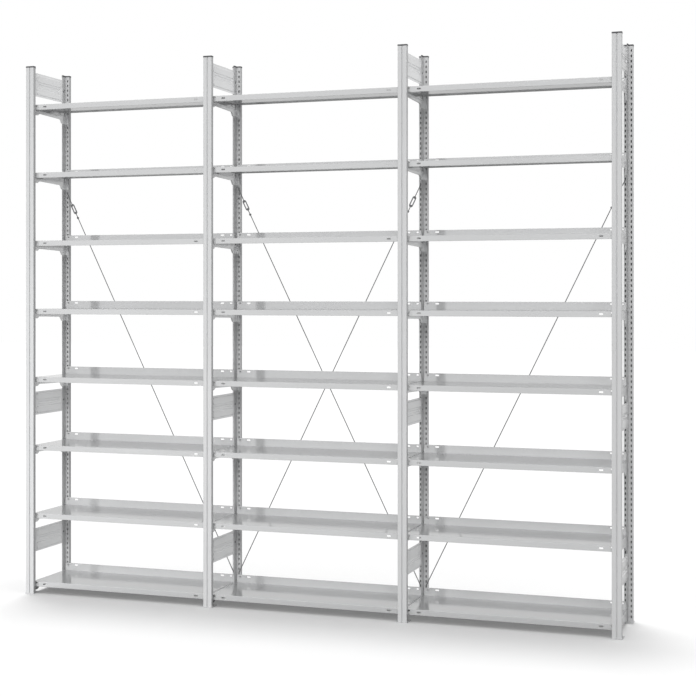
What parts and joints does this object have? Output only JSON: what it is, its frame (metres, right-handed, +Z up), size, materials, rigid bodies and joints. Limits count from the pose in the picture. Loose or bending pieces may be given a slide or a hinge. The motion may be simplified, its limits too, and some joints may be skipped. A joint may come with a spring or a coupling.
{
  "type": "archive shelving unit",
  "caption": "Wide archive shelving unit with T-profile uprights, folded steel shelves on side brackets, embossed frame panels and diagonal tension braces.",
  "frame": {"origin": "on the floor, below the middle of the unit", "axes": "+X along the width to the viewer's right, -Y to the front where the shelves are filled, +Z up"},
  "size_m": [3.069, 0.36, 2.705],
  "materials": {
    "painted_steel": "light grey powder coat, satin",
    "zinc_steel": "bright zinc plate, slightly dull",
    "cap_plastic": "dark grey moulded plastic"
  },
  "bodies": {
    "frame": {"upright_front_1": "painted_steel", "upright_rear_1": "painted_steel", "frame_panel_bottom_1": "painted_steel", "frame_panel_middle_1": "painted_steel", "frame_panel_top_1": "painted_steel", "upright_front_2": "painted_steel", "upright_rear_2": "painted_steel", "frame_panel_bottom_2": "painted_steel", "frame_panel_middle_2": "painted_steel", "frame_panel_top_2": "painted_steel", "upright_front_3": "painted_steel", "upright_rear_3": "painted_steel", "frame_panel_bottom_3": "painted_steel", "frame_panel_middle_3": "painted_steel", "frame_panel_top_3": "painted_steel", "upright_front_4": "painted_steel", "upright_rear_4": "painted_steel", "frame_panel_bottom_4": "painted_steel", "frame_panel_middle_4": "painted_steel", "frame_panel_top_4": "painted_steel", "brace_hook_left": "zinc_steel", "brace_rod_left": "zinc_steel", "lock_nut_left": "zinc_steel", "brace_hook_middle_falling": "zinc_steel", "brace_rod_middle_falling": "zinc_steel", "lock_nut_middle_falling": "zinc_steel", "brace_hook_middle_rising": "zinc_steel", "brace_rod_middle_rising": "zinc_steel", "lock_nut_middle_rising": "zinc_steel", "brace_hook_right": "zinc_steel", "brace_rod_right": "zinc_steel", "lock_nut_right": "zinc_steel"},
    "shelf_left_1": {"shelf_left_1": "painted_steel"},
    "shelf_left_2": {"shelf_left_2": "painted_steel"},
    "shelf_left_3": {"shelf_left_3": "painted_steel"},
    "shelf_left_4": {"shelf_left_4": "painted_steel"},
    "shelf_left_5": {"shelf_left_5": "painted_steel"},
    "shelf_left_6": {"shelf_left_6": "painted_steel"},
    "shelf_left_7": {"shelf_left_7": "painted_steel"},
    "shelf_left_8": {"shelf_left_8": "painted_steel"},
    "shelf_middle_1": {"shelf_middle_1": "painted_steel"},
    "shelf_middle_2": {"shelf_middle_2": "painted_steel"},
    "shelf_middle_3": {"shelf_middle_3": "painted_steel"},
    "shelf_middle_4": {"shelf_middle_4": "painted_steel"},
    "shelf_middle_5": {"shelf_middle_5": "painted_steel"},
    "shelf_middle_6": {"shelf_middle_6": "painted_steel"},
    "shelf_middle_7": {"shelf_middle_7": "painted_steel"},
    "shelf_middle_8": {"shelf_middle_8": "painted_steel"},
    "shelf_right_1": {"shelf_right_1": "painted_steel"},
    "shelf_right_2": {"shelf_right_2": "painted_steel"},
    "shelf_right_3": {"shelf_right_3": "painted_steel"},
    "shelf_right_4": {"shelf_right_4": "painted_steel"},
    "shelf_right_5": {"shelf_right_5": "painted_steel"},
    "shelf_right_6": {"shelf_right_6": "painted_steel"},
    "shelf_right_7": {"shelf_right_7": "painted_steel"},
    "shelf_right_8": {"shelf_right_8": "painted_steel"},
    "turnbuckle_left": {"turnbuckle_left": "zinc_steel"},
    "turnbuckle_middle_falling": {"turnbuckle_middle_falling": "zinc_steel"},
    "turnbuckle_middle_rising": {"turnbuckle_middle_rising": "zinc_steel"},
    "turnbuckle_right": {"turnbuckle_right": "zinc_steel"}
  },
  "joints": [
    {"name": "shelf_left_1_lift", "type": "slide", "parent": "frame", "child": "shelf_left_1", "axis": [0, 0, 1], "range_m": [0, 0.27]},
    {"name": "shelf_left_2_lift", "type": "slide", "parent": "frame", "child": "shelf_left_2", "axis": [0, 0, 1], "range_m": [0, 0.27]},
    {"name": "shelf_left_3_lift", "type": "slide", "parent": "frame", "child": "shelf_left_3", "axis": [0, 0, 1], "range_m": [0, 0.27]},
    {"name": "shelf_left_4_lift", "type": "slide", "parent": "frame", "child": "shelf_left_4", "axis": [0, 0, 1], "range_m": [0, 0.27]},
    {"name": "shelf_left_5_lift", "type": "slide", "parent": "frame", "child": "shelf_left_5", "axis": [0, 0, 1], "range_m": [0, 0.27]},
    {"name": "shelf_left_6_lift", "type": "slide", "parent": "frame", "child": "shelf_left_6", "axis": [0, 0, 1], "range_m": [0, 0.27]},
    {"name": "shelf_left_7_lift", "type": "slide", "parent": "frame", "child": "shelf_left_7", "axis": [0, 0, 1], "range_m": [0, 0.27]},
    {"name": "shelf_left_8_lift", "type": "slide", "parent": "frame", "child": "shelf_left_8", "axis": [0, 0, 1], "range_m": [0, 0.27]},
    {"name": "shelf_middle_1_lift", "type": "slide", "parent": "frame", "child": "shelf_middle_1", "axis": [0, 0, 1], "range_m": [0, 0.27]},
    {"name": "shelf_middle_2_lift", "type": "slide", "parent": "frame", "child": "shelf_middle_2", "axis": [0, 0, 1], "range_m": [0, 0.27]},
    {"name": "shelf_middle_3_lift", "type": "slide", "parent": "frame", "child": "shelf_middle_3", "axis": [0, 0, 1], "range_m": [0, 0.27]},
    {"name": "shelf_middle_4_lift", "type": "slide", "parent": "frame", "child": "shelf_middle_4", "axis": [0, 0, 1], "range_m": [0, 0.27]},
    {"name": "shelf_middle_5_lift", "type": "slide", "parent": "frame", "child": "shelf_middle_5", "axis": [0, 0, 1], "range_m": [0, 0.27]},
    {"name": "shelf_middle_6_lift", "type": "slide", "parent": "frame", "child": "shelf_middle_6", "axis": [0, 0, 1], "range_m": [0, 0.27]},
    {"name": "shelf_middle_7_lift", "type": "slide", "parent": "frame", "child": "shelf_middle_7", "axis": [0, 0, 1], "range_m": [0, 0.27]},
    {"name": "shelf_middle_8_lift", "type": "slide", "parent": "frame", "child": "shelf_middle_8", "axis": [0, 0, 1], "range_m": [0, 0.27]},
    {"name": "shelf_right_1_lift", "type": "slide", "parent": "frame", "child": "shelf_right_1", "axis": [0, 0, 1], "range_m": [0, 0.27]},
    {"name": "shelf_right_2_lift", "type": "slide", "parent": "frame", "child": "shelf_right_2", "axis": [0, 0, 1], "range_m": [0, 0.27]},
    {"name": "shelf_right_3_lift", "type": "slide", "parent": "frame", "child": "shelf_right_3", "axis": [0, 0, 1], "range_m": [0, 0.27]},
    {"name": "shelf_right_4_lift", "type": "slide", "parent": "frame", "child": "shelf_right_4", "axis": [0, 0, 1], "range_m": [0, 0.27]},
    {"name": "shelf_right_5_lift", "type": "slide", "parent": "frame", "child": "shelf_right_5", "axis": [0, 0, 1], "range_m": [0, 0.27]},
    {"name": "shelf_right_6_lift", "type": "slide", "parent": "frame", "child": "shelf_right_6", "axis": [0, 0, 1], "range_m": [0, 0.27]},
    {"name": "shelf_right_7_lift", "type": "slide", "parent": "frame", "child": "shelf_right_7", "axis": [0, 0, 1], "range_m": [0, 0.27]},
    {"name": "shelf_right_8_lift", "type": "slide", "parent": "frame", "child": "shelf_right_8", "axis": [0, 0, 1], "range_m": [0, 0.27]},
    {"name": "turnbuckle_left_turn", "type": "hinge", "parent": "frame", "child": "turnbuckle_left", "pos_m": [-1.45302, 0.1555, 1.9905], "axis": [0.4448, 0, -0.8956], "range_deg": [-360, 360]},
    {"name": "turnbuckle_middle_falling_turn", "type": "hinge", "parent": "frame", "child": "turnbuckle_middle_falling", "pos_m": [-0.44802, 0.1555, 1.9905], "axis": [0.4448, 0, -0.8956], "range_deg": [-360, 360]},
    {"name": "turnbuckle_middle_rising_turn", "type": "hinge", "parent": "frame", "child": "turnbuckle_middle_rising", "pos_m": [0.44802, 0.1555, 1.9905], "axis": [-0.4448, 0, -0.8956], "range_deg": [-360, 360]},
    {"name": "turnbuckle_right_turn", "type": "hinge", "parent": "frame", "child": "turnbuckle_right", "pos_m": [1.45302, 0.1555, 1.9905], "axis": [-0.4448, 0, -0.8956], "range_deg": [-360, 360]}
  ]
}
